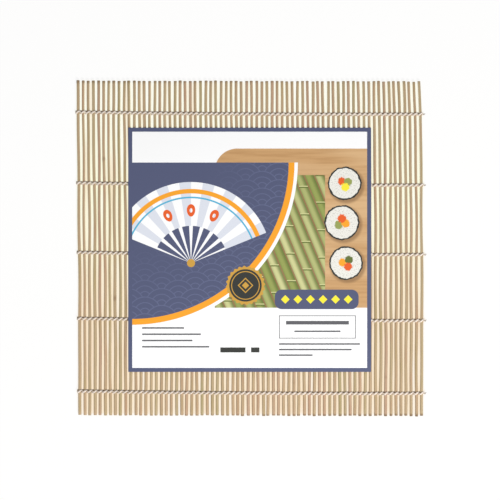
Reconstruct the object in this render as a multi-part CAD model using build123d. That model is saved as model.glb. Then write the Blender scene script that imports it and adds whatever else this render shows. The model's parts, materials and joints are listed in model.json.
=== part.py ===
from build123d import *
import copy
import math
import os
from itertools import pairwise

# Sushi rolling mat lying open and flat: a row of bamboo sticks, bound side by side by five
# rows of cotton thread, with a printed card label on top.
# Millimetres and degrees. X runs across the sticks and Y along them. The origin is at the
# middle of the mat on the surface that it lies on.

# Sticks
stick_count = 68
stick_length = 240.0
stick_diameter = 2.2
stick_gap = 1.464
stick_flats = 12

# The mat bends between its links. A link is a few neighbouring sticks with the thread round
# them: three at the side that ends up outside the roll, two at the side that starts it.
outer_link_count = 12
outer_link_sticks = 3
inner_link_sticks = 2

# Binding thread. Every row is one thread, folded round the first stick. Its two halves pass
# over and under the sticks in turn, change places in every gap and meet round the last stick.
thread_row_shares = (0.4025, 0.1906, -0.0171, -0.2143, -0.4316)  # of the stick's length
thread_row_lead = 2.6  # by which a row starts higher at the first stick than it ends
thread_width = 1.25
thread_seat = 0.05  # between a thread and the stick that it goes round
thread_clearance = 0.282  # between a thread and the sticks that it passes between
thread_offset = 0.76  # from the middle of the row to each half, where they pass each other
fold_gap = 0.6  # between the ends of a half at a fold of the mat, so that it can turn

# Knots that close the rows beside the last stick, each with two cut tails
knot_length = 0.95
knot_width = 1.7
knot_height = 1.4
knot_chamfer = 0.3
knot_seat = 0.05
tail_length = 0.6
tail_thickness = 0.45
tail_splay = 14.0

# Label card
label_width = 174.0
label_height = 175.0
label_thickness = 0.3
label_seat = 0.05
label_shift_x = 0.2  # from the middle of the sticks
label_shift_y = -1.0
label_turn = -0.25

# Worked out from the sizes above
stick_radius = stick_diameter / 2
stick_pitch = stick_diameter + stick_gap
inner_link_count = (stick_count - outer_link_count * outer_link_sticks) // inner_link_sticks
thread_thickness = stick_gap - 2 * thread_clearance
thread_inside = stick_radius + thread_seat
thread_outside = thread_inside + thread_thickness
thread_middle = thread_inside + thread_thickness / 2
knot_start = thread_outside + knot_seat
right_reach = knot_start + knot_length + tail_length
first_stick_x = -((stick_count - 1) * stick_pitch + right_reach - thread_outside) / 2
mat_middle_x = first_stick_x + (stick_count - 1) * stick_pitch / 2
mat_middle_z = thread_outside

# In a gap a thread leans so that it clears both sticks alike. The lean is from upright.
thread_lean = math.acos(thread_middle / (stick_pitch / 2))
shoulder_share = math.tan((math.pi / 2 - thread_lean) / 2)
fold_share = math.tan(thread_lean / 2)
flatness_share = 1e-6  # of the thread's width, by which four corners may miss one plane


def ring(upper, lower, y):
    """Four corners across a thread: its upper edge and its lower edge, each an x and a z."""
    half = thread_width / 2
    return [
        Vector(upper[0], y - half, upper[1]),
        Vector(upper[0], y + half, upper[1]),
        Vector(lower[0], y + half, lower[1]),
        Vector(lower[0], y - half, lower[1]),
    ]


def polygon(*corners):
    return Face(Wire.make_polygon(corners, close=True))


def flat(corners):
    """Whether four corners lie in one plane."""
    a, b, c, d = corners
    return abs((b - a).cross(c - a).normalized().dot(d - a)) < thread_width * flatness_share


def skin(here, there):
    """The four sides between two rings, a twisted side as two triangles."""
    faces = []
    for k in range(4):
        side = (here[k - 1], here[k], there[k], there[k - 1])
        if flat(side):
            faces.append(polygon(*side))
        else:
            faces.append(polygon(side[0], side[1], side[2]))
            faces.append(polygon(side[0], side[2], side[3]))
    return faces


def thread_solid(rings):
    faces = [polygon(*rings[0]), polygon(*rings[-1])]
    for here, there in pairwise(rings):
        faces += skin(here, there)
    return Solid(Shell(faces))


def shoulder(x, way, over):
    """The ring at one shoulder of a stick at x, where way is -1 for left and 1 for right, and
    over is 1 for a thread that passes above the stick and -1 for one that passes below."""
    near = (x + way * thread_inside * shoulder_share, over * thread_inside)
    far = (x + way * thread_outside * shoulder_share, over * thread_outside)
    upper, lower = (far, near) if over > 0 else (near, far)
    return ring(upper, lower, way * over * thread_offset)


def cut_end(x, way, over):
    """The ring where a half of the thread stops short of the fold beside a stick at x."""
    half = thread_thickness / 2
    rise = math.cos(thread_lean) * fold_gap / 2
    run = math.sin(thread_lean) * fold_gap / 2
    middle_x = x + way * (stick_pitch / 2 - run)
    middle_z = over * rise
    side_x = way * half * math.cos(thread_lean)
    side_z = over * half * math.sin(thread_lean)
    far = (middle_x + side_x, middle_z + side_z)
    near = (middle_x - side_x, middle_z - side_z)
    upper, lower = (far, near) if over > 0 else (near, far)
    return ring(upper, lower, way * over * thread_offset)


def half_rings(sticks, over):
    """The rings of one half of the thread along a link, from its first stick at x = 0."""
    rings = []
    for n in range(sticks):
        x = n * stick_pitch
        rings.append(shoulder(x, -1, over))
        rings.append(shoulder(x, 1, over))
        over = -over
    return rings


def open_half(sticks, over):
    """One half of the thread along a link, cut at the folds of the mat at both ends."""
    last_over = over * (-1) ** (sticks - 1)
    start = cut_end(0, -1, over)
    end = cut_end((sticks - 1) * stick_pitch, 1, last_over)
    return thread_solid([start] + half_rings(sticks, over) + [end])


def folded_thread(sticks):
    """The thread of an outer link: it comes from below, goes round the left side of the outer
    stick, at x = 0, and leaves above it."""
    end_x = (sticks - 1) * stick_pitch
    last_over = (-1) ** (sticks - 1)
    below = half_rings(sticks, -1) + [cut_end(end_x, 1, -last_over)]
    above = half_rings(sticks, 1) + [cut_end(end_x, 1, last_over)]
    bevel_inside = thread_inside * fold_share
    bevel_outside = thread_outside * fold_share
    low = ring((-thread_inside, -bevel_inside), (-thread_outside, -bevel_outside), thread_offset / 2)
    high = ring((-thread_inside, bevel_inside), (-thread_outside, bevel_outside), -thread_offset / 2)
    above_turned = [list(reversed(corners)) for corners in above]
    return thread_solid(below[::-1] + [low, high] + above_turned)


def row_places(across_share):
    """The y of each row at a share of the way across the mat. The rows start high and level off."""
    mean_share = 1 / 3
    rise = thread_row_lead * ((1 - across_share) ** 2 - mean_share)
    return [share * stick_length + rise for share in thread_row_shares]


def link_threads(sticks, place, across_share):
    """All the thread of one link with its first stick at x = 0, a solid for each piece. The
    two halves join round the outer stick of the first link and of the last."""
    if place == "first":
        row = [folded_thread(sticks)]
    elif place == "last":
        row = [Pos((sticks - 1) * stick_pitch, 0, 0) * Rot(0, 0, 180) * folded_thread(sticks)]
    else:
        row = [open_half(sticks, 1), open_half(sticks, -1)]
    return [Pos(0, y, mat_middle_z) * piece for y in row_places(across_share) for piece in row]


def link_sticks(sticks):
    """The sticks of one link, the first at x = 0. A stick is drawn round with narrow flats."""
    outline = RegularPolygon(stick_radius, stick_flats, major_radius=False, rotation=180 / stick_flats)
    stick = extrude(Plane.XZ * outline, stick_length / 2, both=True)
    return [Pos(n * stick_pitch, 0, mat_middle_z) * stick for n in range(sticks)]


def end_knots():
    """The knots that close the rows, with the last stick at x = 0."""
    middle_x = knot_start + knot_length / 2
    knot = chamfer(Box(knot_length, knot_width, knot_height).edges(), knot_chamfer)
    outward = (Align.MIN, Align.CENTER, Align.CENTER)
    tail = Box(knot_length / 2 + tail_length, tail_thickness, tail_thickness, align=outward)
    for side in (-1, 1):
        knot += Pos(0, side * tail_thickness, 0) * Rot(0, 0, side * tail_splay) * tail
    return [Pos(middle_x, y, mat_middle_z) * knot for y in row_places(1)]


def label_card():
    card = Box(label_width, label_height, label_thickness, align=(Align.CENTER, Align.CENTER, Align.MIN))
    top = mat_middle_z + thread_outside + label_seat
    place = Pos(mat_middle_x + label_shift_x, label_shift_y, top)
    return place * Rot(0, 0, label_turn) * card


def write(name, solids):
    export_step(Compound(children=[copy.copy(solid) for solid in solids]), f"parts/{name}.step")


os.makedirs("parts", exist_ok=True)
link_sizes = [outer_link_sticks] * outer_link_count + [inner_link_sticks] * inner_link_count
sticks_before = 0
for number, sticks in enumerate(link_sizes, 1):
    start = Pos(first_stick_x + sticks_before * stick_pitch, 0, 0)
    place = {1: "first", len(link_sizes): "last"}.get(number, "between")
    across_share = (sticks_before + (sticks - 1) / 2) / (stick_count - 1)
    threads = link_threads(sticks, place, across_share)
    write(f"bamboo_sticks_{number:02d}", [start * stick for stick in link_sticks(sticks)])
    write(f"string_turns_{number:02d}", [start * thread for thread in threads])
    sticks_before += sticks
last_stick = Pos(first_stick_x + (stick_count - 1) * stick_pitch, 0, 0)
write("end_knots", [last_stick * knot for knot in end_knots()])
export_step(label_card(), "parts/label_card.step")
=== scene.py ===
# %% [markdown]
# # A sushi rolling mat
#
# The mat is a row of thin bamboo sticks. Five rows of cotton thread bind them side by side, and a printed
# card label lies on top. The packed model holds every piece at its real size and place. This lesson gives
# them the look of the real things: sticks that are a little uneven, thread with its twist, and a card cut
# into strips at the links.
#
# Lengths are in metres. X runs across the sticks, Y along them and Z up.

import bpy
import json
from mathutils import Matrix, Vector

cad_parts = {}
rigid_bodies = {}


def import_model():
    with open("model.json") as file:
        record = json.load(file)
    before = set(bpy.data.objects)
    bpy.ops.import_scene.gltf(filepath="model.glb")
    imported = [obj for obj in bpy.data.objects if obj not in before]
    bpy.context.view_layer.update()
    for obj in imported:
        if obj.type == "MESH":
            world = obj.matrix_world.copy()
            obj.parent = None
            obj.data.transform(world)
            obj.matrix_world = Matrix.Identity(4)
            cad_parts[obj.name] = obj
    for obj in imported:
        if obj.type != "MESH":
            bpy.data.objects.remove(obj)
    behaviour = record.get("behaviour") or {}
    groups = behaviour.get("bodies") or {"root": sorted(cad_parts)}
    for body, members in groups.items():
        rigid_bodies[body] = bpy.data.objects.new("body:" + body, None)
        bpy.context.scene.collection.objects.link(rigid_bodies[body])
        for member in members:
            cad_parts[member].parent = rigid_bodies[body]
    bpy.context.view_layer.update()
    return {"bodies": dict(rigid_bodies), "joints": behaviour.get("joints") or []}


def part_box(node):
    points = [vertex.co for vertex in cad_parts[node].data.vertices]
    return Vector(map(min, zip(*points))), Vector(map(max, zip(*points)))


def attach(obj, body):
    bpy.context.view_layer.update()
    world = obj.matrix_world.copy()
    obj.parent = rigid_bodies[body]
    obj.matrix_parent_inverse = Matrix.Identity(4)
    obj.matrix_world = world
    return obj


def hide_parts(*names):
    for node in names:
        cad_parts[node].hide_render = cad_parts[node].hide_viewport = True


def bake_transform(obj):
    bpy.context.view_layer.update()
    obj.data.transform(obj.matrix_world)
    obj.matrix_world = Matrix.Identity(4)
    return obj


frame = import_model()

# %% Modules, units and the box of the packed model
import json
import math
import random

import bpy
import numpy as np
from mathutils import Vector

MM = 0.001

# %% [markdown]
# ## Measures
#
# The mat bends between its links, which are two or three sticks each. The box of each link and
# the place of each fold give all the sizes that the pieces here need, so nothing has to be
# fitted by eye.

# %% Read the sizes of the mat from the frame
links = sorted(frame["bodies"])
folds = sorted(frame["joints"], key=lambda joint: joint["pos_m"][0])
fold_x = [fold["pos_m"][0] for fold in folds]
middle_z = folds[0]["pos_m"][2]
link_boxes = []
for link in links:
    link_boxes.append([Vector(corner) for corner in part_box(link.replace("link", "bamboo_sticks"))])
stick_size = link_boxes[0][1] - link_boxes[0][0]
stick_length = stick_size.y
stick_radius = stick_size.z / 2
pitch = 2 * (fold_x[0] - link_boxes[0][1].x + stick_radius)
sticks_in_link = [round((high.x - low.x - 2 * stick_radius) / pitch) + 1 for low, high in link_boxes]
stick_count = sum(sticks_in_link)
first_in_link = [sum(sticks_in_link[:n]) for n in range(len(links))]
first_x = link_boxes[0][0].x + stick_radius
last_x = first_x + (stick_count - 1) * pitch
mat_middle_x = (first_x + last_x) / 2
print(f"{stick_count} sticks of {stick_length / MM:.0f} mm, {2 * stick_radius / MM:.2f} mm thick,",
      f"{pitch / MM:.3f} mm apart, in {len(links)} links")

# %% [markdown]
# ## Working with operators
#
# An operator does to a mesh what a hand does with the mouse, and it acts on everything that is
# selected. So a piece is selected by name, and its faces and edges by a test of their place.
# A number that a material needs later is stored with the points of the mesh.


# %% Helpers for selecting and for storing numbers
def select_only(*pieces):
    """Deselects all else first, because an operator acts on everything that is selected."""
    bpy.ops.object.select_all(action="DESELECT")
    for piece in pieces:
        piece.select_set(True)
    bpy.context.view_layer.objects.active = pieces[0]


def select_parts(piece, faces=None, edges=None):
    """In edit mode, leaves only the faces or edges selected for which the given test is true."""
    bpy.ops.mesh.select_mode(type="FACE" if faces else "EDGE")
    bpy.ops.mesh.select_all(action="DESELECT")
    bpy.ops.object.mode_set(mode="OBJECT")
    if faces:
        for face in piece.data.polygons:
            face.select = faces(face)
    if edges:
        points = piece.data.vertices
        for edge in piece.data.edges:
            edge.select = edges(points[edge.vertices[0]].co, points[edge.vertices[1]].co)
    bpy.ops.object.mode_set(mode="EDIT")


def write_values(piece, name, values):
    """Stores a number with every point of a mesh, for its material to read."""
    attribute = piece.data.attributes.new(name, "FLOAT", "POINT")
    attribute.data.foreach_set("value", np.asarray(values, np.float32))


print(len(bpy.context.selected_objects), "pieces are selected after loading")

# %% [markdown]
# ## Shader sums
#
# Bamboo, cotton and the printed card are all patterns that a few sums can draw. Written as nodes
# the sums are long and hard to read, so a small class stands for the output of a node. Adding or
# multiplying two of them adds a Math node, and a formula here reads like a formula on paper.

# %% A class for a value in a material
class Value:
    """An output of a node, which takes part in sums."""

    def __init__(self, finish, socket):
        self.finish = finish
        self.socket = socket

    def math(self, operation, *values):
        return self.finish.node("Math", {"operation": operation}, dict(enumerate(values)))

    def __add__(self, other):
        return self.math("ADD", self, other)

    def __radd__(self, other):
        return self.math("ADD", other, self)

    def __sub__(self, other):
        return self.math("SUBTRACT", self, other)

    def __rsub__(self, other):
        return self.math("SUBTRACT", other, self)

    def __mul__(self, other):
        return self.math("MULTIPLY", self, other)

    def __rmul__(self, other):
        return self.math("MULTIPLY", other, self)

    def __truediv__(self, other):
        return self.math("DIVIDE", self, other)

    def __mod__(self, other):
        return self.math("FLOORED_MODULO", self, other)

    def __gt__(self, other):
        return self.math("GREATER_THAN", self, other)

    def __lt__(self, other):
        return self.math("LESS_THAN", self, other)

    def __abs__(self):
        return self.math("ABSOLUTE", self)

    def floor(self):
        return self.math("FLOOR", self)

    def sine(self):
        return self.math("SINE", self)

    def root(self):
        return self.math("SQRT", self)

    def least(self, other):
        return self.math("MINIMUM", self, other)

    def most(self, other):
        return self.math("MAXIMUM", self, other)

    def ramp(self, low, high):
        """0 at low and beyond it, 1 at high and beyond it, and a smooth change between."""
        settings = {"interpolation_type": "SMOOTHSTEP"}
        inputs = {"Value": self, "From Min": low, "From Max": high}
        return self.finish.node("MapRange", settings, inputs)


print("Value:", Value.__doc__)


# %% A class for a material
class Finish:
    """A material on one Principled shader. node() adds any node and joins its inputs."""

    def __init__(self, name, constants):
        self.material = bpy.data.materials.new(name)
        self.material.use_nodes = True
        self.tree = self.material.node_tree
        self.shader = self.tree.nodes["Principled BSDF"]
        self.give(self.shader, constants)

    def give(self, node, inputs):
        for key, value in inputs.items():
            if isinstance(value, Value):
                self.tree.links.new(value.socket, node.inputs[key])
            elif isinstance(value, tuple) and len(value) == 3 and node.inputs[key].type == "RGBA":
                node.inputs[key].default_value = (*value, 1)
            else:
                node.inputs[key].default_value = value

    def node(self, kind, settings=None, inputs=None, output=0):
        new = self.tree.nodes.new("ShaderNode" + kind)
        for key, value in (settings or {}).items():
            if key == "stops":
                ramp = new.color_ramp
                while len(ramp.elements) < len(value):
                    ramp.elements.new(0.5)
                for element, (place, colour) in zip(ramp.elements, value):
                    element.position = place
                    element.color = (*colour, 1)
            else:
                setattr(new, key, value)
        self.give(new, inputs or {})
        return Value(self, new.outputs[output])

    def place(self):
        """X, Y and Z of the point in the mat's own frame."""
        point = self.node("TexCoord", output="Object")
        return [self.node("SeparateXYZ", inputs={"Vector": point}, output=axis) for axis in "XYZ"]

    def flat_place(self):
        """The two values of the piece's UV map."""
        point = self.node("UVMap")
        return [self.node("SeparateXYZ", inputs={"Vector": point}, output=axis) for axis in "XY"]

    def stored(self, name):
        """The number that the mesh stores with each point under a name."""
        return self.node("Attribute", {"attribute_name": name}, output="Fac")

    def chance(self, number):
        """A share by chance, the same wherever the number is the same."""
        return self.node("TexWhiteNoise", {"noise_dimensions": "1D"}, {"W": number})

    def vector(self, x, y, z):
        return self.node("CombineXYZ", inputs={"X": x, "Y": y, "Z": z})

    def noise(self, vector, scale=1.0, detail=2.0, roughness=0.5):
        inputs = {"Vector": vector, "Scale": scale, "Detail": detail, "Roughness": roughness}
        return self.node("TexNoise", inputs=inputs, output="Fac")

    def lay(self, under, colour, mask):
        """One colour laid over another where the mask is 1."""
        settings = {"data_type": "RGBA"}
        return self.node("Mix", settings, {"Factor": mask, 6: under, 7: colour}, output=2)

    def bump(self, height, distance, strength=1.0):
        inputs = {"Height": height, "Distance": distance, "Strength": strength}
        return self.node("Bump", inputs=inputs)

    def done(self, inputs):
        """Joins what varies to the shader and returns the material."""
        self.give(self.shader, inputs)
        return self.material


print("Finish:", Finish.__doc__)


# %% Colours as they look on a screen
def colour(red, green, blue):
    """A colour written as it looks on a screen, from 0 to 255, as the light values a shader takes."""
    shares = (red / 255, green / 255, blue / 255)
    return tuple(v / 12.92 if v < 0.04045 else ((v + 0.055) / 1.055) ** 2.4 for v in shares)


print(f"half grey on a screen is {colour(128, 128, 128)[0]:.2f} to a shader")

# %% [markdown]
# ## Bamboo
#
# A stick is split from the wall of a culm and drawn through a round hole, so its fibres run
# dead straight along it as fine dark streaks. Neighbours come from different culms and differ
# in tint, from pinkish to greenish. Here and there a stick crosses a node of the culm, which
# leaves a darker, slightly thicker ring.
#
# The streaks come from a noise that is stretched along the stick, and a coarser noise gives greenish and
# pinkish patches. The top of each stick keeps its tint, and its flanks are painted pale as a painted
# highlight, shifted a little to one side by chance. Towards the near side of the mat the sticks are painted
# lighter, as painted light, and the painted highlight on the flanks is narrower and warmer there. The ends
# of each stick are darker, more so at the near side.
#
# The mesh stores three numbers with each point: the number of the stick, which picks its tint, the way
# across the stick, which tells the top from the painted highlight on the flanks also where the stick is
# bowed, and the nearness of a ring, because the ring also swells the stick.

# %% Colours and scales of the bamboo
RING, NUMBER, ACROSS = "culm_node", "stick_number", "across_stick"
TINTS = (
    (0.0, colour(191, 160, 134)),
    (0.3, colour(193, 166, 131)),
    (0.6, colour(190, 166, 132)),
    (0.85, colour(182, 167, 127)),
    (1.0, colour(196, 169, 138)),
)
GREENISH, PINKISH, DARK_FIBRE = colour(176, 158, 110), colour(190, 145, 118), colour(104, 74, 46)
FAR_HIGHLIGHT, NEAR_HIGHLIGHT = colour(255, 247, 222), colour(244, 222, 188)
RING_BROWN, END_BROWN = colour(122, 88, 56), colour(124, 98, 70)
PORE_BROWN, SAWN_BROWN = colour(96, 68, 42), colour(120, 88, 58)
STREAKS_PER_METRE, PORES_PER_METRE = 4200, 5200
STREAKS_ALONG, PATCHES_ALONG = 45, 30
FIBRE_DEPTH = 0.03 * MM
# Where the painted highlight on the flanks starts and where it is full; the next two shift it by chance and
# narrow it at the near side.
FLANK_START, FLANK_END = 0.7, 0.92  # of the way from the middle of a stick to its side
HIGHLIGHT_SHIFT, HIGHLIGHT_NARROWING = 0.3, 0.25  # of the same way: by chance to one side, and further round
RIM_START, RIM_END = 0.492, 0.502  # of the stick's length, from its middle
print(len(TINTS), "tints of bamboo,", STREAKS_PER_METRE, "streaks to the metre")


# %% The bamboo finish
def bamboo_finish(name, sawn):
    """The finish of the long side of the sticks or, where sawn, of their end faces."""
    finish = Finish(name, {"Specular IOR Level": 0.35})
    x, y, z = finish.place()
    number = (finish.stored(NUMBER) + 0.5).floor()
    near = (y / stick_length).ramp(0.15, -0.5)
    fibre_place = finish.vector(x * STREAKS_PER_METRE, y * STREAKS_ALONG, z * STREAKS_PER_METRE)
    fibres = finish.noise(fibre_place, detail=3.0, roughness=0.65)
    patches = finish.noise(finish.vector(number * 7.3, y * PATCHES_ALONG, 0.0))
    toned = finish.node("ValToRGB", {"stops": TINTS}, {"Fac": finish.chance(number + 3.7)})
    toned = finish.lay(toned, GREENISH, patches.ramp(0.5, 0.72) * 0.5)
    toned = finish.lay(toned, PINKISH, (1.0 - patches).ramp(0.5, 0.72) * 0.4)
    shade = 1.0 - 0.30 * fibres.ramp(0.5, 0.72)
    # Each stick is lighter or darker by chance, and all are painted lighter towards the near side, as
    # painted light.
    light = 0.82 + 0.11 * finish.chance(number * 1.7 + 91.3) + 0.09 * near
    toned = finish.lay(DARK_FIBRE, toned, (shade * light).least(1.0))
    # Painted highlight: the flanks are painted pale, in a warmer colour and over less of the flank at the
    # near side.
    highlight_offset = (finish.chance(number * 2.3 + 17.9) - 0.5) * HIGHLIGHT_SHIFT
    off_middle = abs(finish.stored(ACROSS) + highlight_offset)
    wood_and_flank_highlight = finish.lay(FAR_HIGHLIGHT, NEAR_HIGHLIGHT, near)
    toned = finish.lay(toned, wood_and_flank_highlight, (off_middle - HIGHLIGHT_NARROWING * near).ramp(FLANK_START, FLANK_END))
    toned = finish.lay(toned, RING_BROWN, finish.stored(RING).ramp(0.25, 0.95) * 0.42)
    rim = (abs(y) / stick_length).ramp(RIM_START, RIM_END)
    toned = finish.lay(toned, END_BROWN, rim * (0.65 + 0.3 * near))
    if sawn:
        pore_place = finish.vector(x * PORES_PER_METRE, 0.0, z * PORES_PER_METRE)
        pores = finish.node("TexVoronoi", {"feature": "F1"}, {"Vector": pore_place, "Scale": 1.0})
        toned = finish.lay(toned, PORE_BROWN, (1.0 - pores).ramp(0.45, 0.9) * 0.75)
        toned = finish.lay(toned, SAWN_BROWN, 0.5)
    bump = finish.bump(fibres, FIBRE_DEPTH, 0.7)
    return finish.done({"Base Color": toned, "Roughness": 0.5 + 0.22 * fibres, "Normal": bump})


bamboo = bamboo_finish("drawn_bamboo", sawn=False)
cut_bamboo = bamboo_finish("cut_bamboo_ends", sawn=True)
print("made", bamboo.name, "and", cut_bamboo.name)

# %% [markdown]
# ## The pattern stick
#
# One stick is modelled with care and copied. It starts as a cylinder. Its long edges are divided,
# so that a copy can bow and swell. The rim of each cut end is bevelled, as the edge wears first,
# and the cut face is inset, so that the saw cut of each copy can be a little uneven.

# %% Model one stick
STICK_SIDES, STICK_RINGS = 20, 60
RIM_BEVEL, FACE_INSET = 0.16 * MM, 0.35 * MM

bpy.ops.object.select_all(action="DESELECT")
bpy.ops.mesh.primitive_cylinder_add(vertices=STICK_SIDES, radius=stick_radius, depth=stick_length)
pattern_stick = bpy.context.object
pattern_stick.name = "pattern_stick"
pattern_stick.rotation_euler.x = math.pi / 2
select_only(pattern_stick)
bpy.ops.object.transform_apply(rotation=True)
bpy.ops.object.mode_set(mode="EDIT")
select_parts(pattern_stick, edges=lambda a, b: abs(a.y - b.y) > stick_length / 2)
bpy.ops.mesh.subdivide(number_cuts=STICK_RINGS - 1)
select_parts(pattern_stick, edges=lambda a, b: abs(a.y) > 0.499 * stick_length and a.y == b.y)
bpy.ops.mesh.bevel(offset=RIM_BEVEL, segments=2, affect="EDGES")
select_parts(pattern_stick, faces=lambda face: abs(face.normal.y) > 0.99)
bpy.ops.mesh.inset(thickness=FACE_INSET)
bpy.ops.object.mode_set(mode="OBJECT")
print("pattern stick:", len(pattern_stick.data.polygons), "faces")


# %% [markdown]
# ## Uneven sticks
#
# No two sticks are alike. Each copy gets a section that is not quite round, a thickness of its
# own and now and then a culm node. The thread holds it straight at the five rows, between them it
# bows a little, and beyond the outer rows its free ends lean. The top ends also lean together,
# inwards from both sides of the mat.
#
# The sticks have slipped along each other, those on the left towards the top, and the whole mat
# lies in a slight curve, with its middle pushed to the right. All chance comes from one seeded
# generator, so the mat is the same each time.

# %% The curve of the mat
CURVE_LEFT, CURVE_RIGHT = 0.42 * MM, 0.75 * MM
LEAN_LEFT, LEAN_RIGHT = 0.47 * MM, 0.07 * MM


def drift(x, y):
    """How far the mat lies to the right of its straight place there."""
    share = (x - first_x) / (last_x - first_x)
    down = 0.5 - y / stick_length
    curve = CURVE_LEFT + (CURVE_RIGHT - CURVE_LEFT) * share
    return curve * np.sin(math.pi * down) + (LEAN_LEFT + (LEAN_RIGHT - LEAN_LEFT) * share) * down


print(f"the middle of the last stick lies {drift(last_x, 0) / MM:.2f} mm to the right")

# %% The chances of a stick
chance = random.Random(68)
THINNEST, THICKEST = -0.045, 0.035  # of the thickness of a stick, as are the next four
OVAL, LOBED, WAVY = 0.02, 0.012, 0.02
NODE_SWELL = 0.035
NODE_CHANCE = 0.38
NODE_LENGTH = 1.1 * MM
NODE_REACH = 0.45  # of the stick's length, from its middle
BOW, BOW_UP = 0.3 * MM, 0.06 * MM
SLIP_TOP, SLIP_BOTTOM, SLIP_CHANCE = 0.9 * MM, -0.75 * MM, 0.25 * MM
FREE_FROM = 97 * MM
FREE_LEAN = 0.3 * MM
TOP_LEAN_LEFT, TOP_LEAN_RIGHT, TOP_LEAN_POWER = 0.3 * MM, -0.5 * MM, 4
ROW_SPACING, A_ROW = 49.8 * MM, 46.3 * MM
UNEVEN_STEP = 0.12 * MM
RAGGED, RAGGED_FROM = 0.12 * MM, 0.49 * stick_length
print("a stick has a culm node", round(NODE_CHANCE * 100), "times in a hundred")


# %% The section and the line of a stick
def any_phase():
    """Where a wave starts."""
    return chance.uniform(0, 6)


def uneven_section(y, angle):
    """The size of a stick as a share at each of its points, and how near a culm node is."""
    size = 1 + chance.uniform(THINNEST, THICKEST)
    size = size + OVAL * np.cos(2 * angle + any_phase())
    size = size + LOBED * np.cos(3 * angle + any_phase())
    size = size + WAVY * np.sin(y / stick_length * chance.uniform(9, 16) + any_phase())
    ring = np.zeros(len(y))
    if chance.random() < NODE_CHANCE:
        node_y = chance.uniform(-NODE_REACH, NODE_REACH) * stick_length
        ring = np.exp(-(((y - node_y) / NODE_LENGTH) ** 2))
    return size + NODE_SWELL * ring, ring


def uneven_line(number, y):
    """How far a stick bows to the right and up at each of its points, and how far it slipped."""
    along = y / stick_length
    share = number / (stick_count - 1)
    free = np.clip((abs(y) - FREE_FROM) / (stick_length / 2 - FREE_FROM), 0, 1)
    held = np.sin(math.pi * (y - A_ROW) / ROW_SPACING) * (1 - free)
    right = BOW * held * np.sin(along * chance.uniform(3, 9) + any_phase())
    up = BOW_UP * held * np.sin(along * chance.uniform(4, 8) + any_phase())
    slip = SLIP_TOP + (SLIP_BOTTOM - SLIP_TOP) * share + chance.uniform(-SLIP_CHANCE, SLIP_CHANCE)
    top_lean = TOP_LEAN_LEFT + (TOP_LEAN_RIGHT - TOP_LEAN_LEFT) * share ** TOP_LEAN_POWER
    top_lean = top_lean + chance.uniform(-FREE_LEAN, FREE_LEAN)
    bottom_lean = chance.uniform(-FREE_LEAN, FREE_LEAN)
    return right + free * np.where(y > 0, top_lean, bottom_lean), up, slip


print(f"a stick bows by up to {BOW / MM:.1f} mm between two rows of thread")


# %% A copy of the pattern stick
def uneven_stick(number):
    """A copy of the pattern stick, moved to its place and made a little irregular."""
    stick = pattern_stick.copy()
    stick.data = pattern_stick.data.copy()
    bpy.context.collection.objects.link(stick)
    points = np.empty(len(stick.data.vertices) * 3)
    stick.data.vertices.foreach_get("co", points)
    x, y, z = points.reshape(-1, 3).T
    angle = np.arctan2(z, x)
    size, ring = uneven_section(y, angle)
    write_values(stick, RING, ring)
    write_values(stick, ACROSS, x / stick_radius)
    write_values(stick, NUMBER, np.full(len(x), number))
    right, up, slip = uneven_line(number, y)
    stick_x = first_x + number * pitch + chance.uniform(-UNEVEN_STEP, UNEVEN_STEP)
    x = x * size + right + stick_x + drift(first_x + number * pitch, y)
    z = z * size + up + middle_z
    ragged = chance.uniform(-RAGGED, RAGGED) * np.sin(angle)
    y = y + slip + np.where(abs(y) > RAGGED_FROM, ragged, 0)
    stick.data.vertices.foreach_set("co", np.stack([x, y, z], axis=1).ravel())
    return stick


print(f"a stick stands up to {UNEVEN_STEP / MM:.2f} mm off its even place")

# %% Make all the sticks
for material in (bamboo, cut_bamboo):
    pattern_stick.data.materials.append(material)
for face in pattern_stick.data.polygons:
    face.material_index = 1 if abs(face.normal.y) > 0.5 else 0
select_only(pattern_stick)
bpy.ops.object.shade_smooth_by_angle(angle=math.radians(40))
for link, first, count in zip(links, first_in_link, sticks_in_link):
    sticks = [uneven_stick(number) for number in range(first, first + count)]
    select_only(*sticks)
    bpy.ops.object.join()
    group = bpy.context.object
    group.name = link.replace("link", "sticks")
    group.data.name = group.name
    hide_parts(link.replace("link", "bamboo_sticks"))
    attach(group, link)
bpy.data.objects.remove(pattern_stick)
print("made", stick_count, "sticks in", len(links), "groups")

# %% [markdown]
# ## Where the thread runs
#
# Each row is one thread, folded in half round the first stick. The halves pass over and under
# the sticks in turn and change places in each gap, which weavers call twining. The route is an
# arc round each stick and a straight run through each gap. As it goes the half also moves
# sideways, so that the two pass each other side by side in the gap.
#
# A half's route is worked out from its own length. One formula gives a point for any length, so
# neighbouring pieces of thread meet exactly.

# %% Sizes of the thread
ROW_SHARES = (0.4025, 0.1906, -0.0171, -0.2143, -0.4316)  # of the stick's length
ROW_LEAD = 2.6 * MM
THREAD_SEAT = 0.05 * MM
THREAD_OFFSET = 0.82 * MM
THREAD_GRIP = 0.13  # how much closer the halves come where they pass each other
THREAD_WIDTH = 1.38 * MM
OFFSET_WAVER = 0.1  # of the offset
ROW_WAVER = 0.07 * MM

thread_reach = middle_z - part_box("string_turns_02")[0][2]
thread_size = thread_reach - stick_radius - THREAD_SEAT
wrap_radius = stick_radius + THREAD_SEAT + thread_size / 2
lean = math.acos(wrap_radius / (pitch / 2))
arc_length = wrap_radius * (math.pi / 2 - lean)
half_step = arc_length + math.sqrt((pitch / 2) ** 2 - wrap_radius ** 2)
print(f"thread {thread_size / MM:.2f} mm thick, {2 * half_step / MM:.2f} mm of it to each stick")


# %% Where a row lies
def row_y(row, x):
    """The middle of a row at x. The rows start high at the first stick and level off."""
    share = (x - first_x) / (last_x - first_x)
    return ROW_SHARES[row] * stick_length + ROW_LEAD * ((1 - share) ** 2 - 1 / 3)


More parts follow.
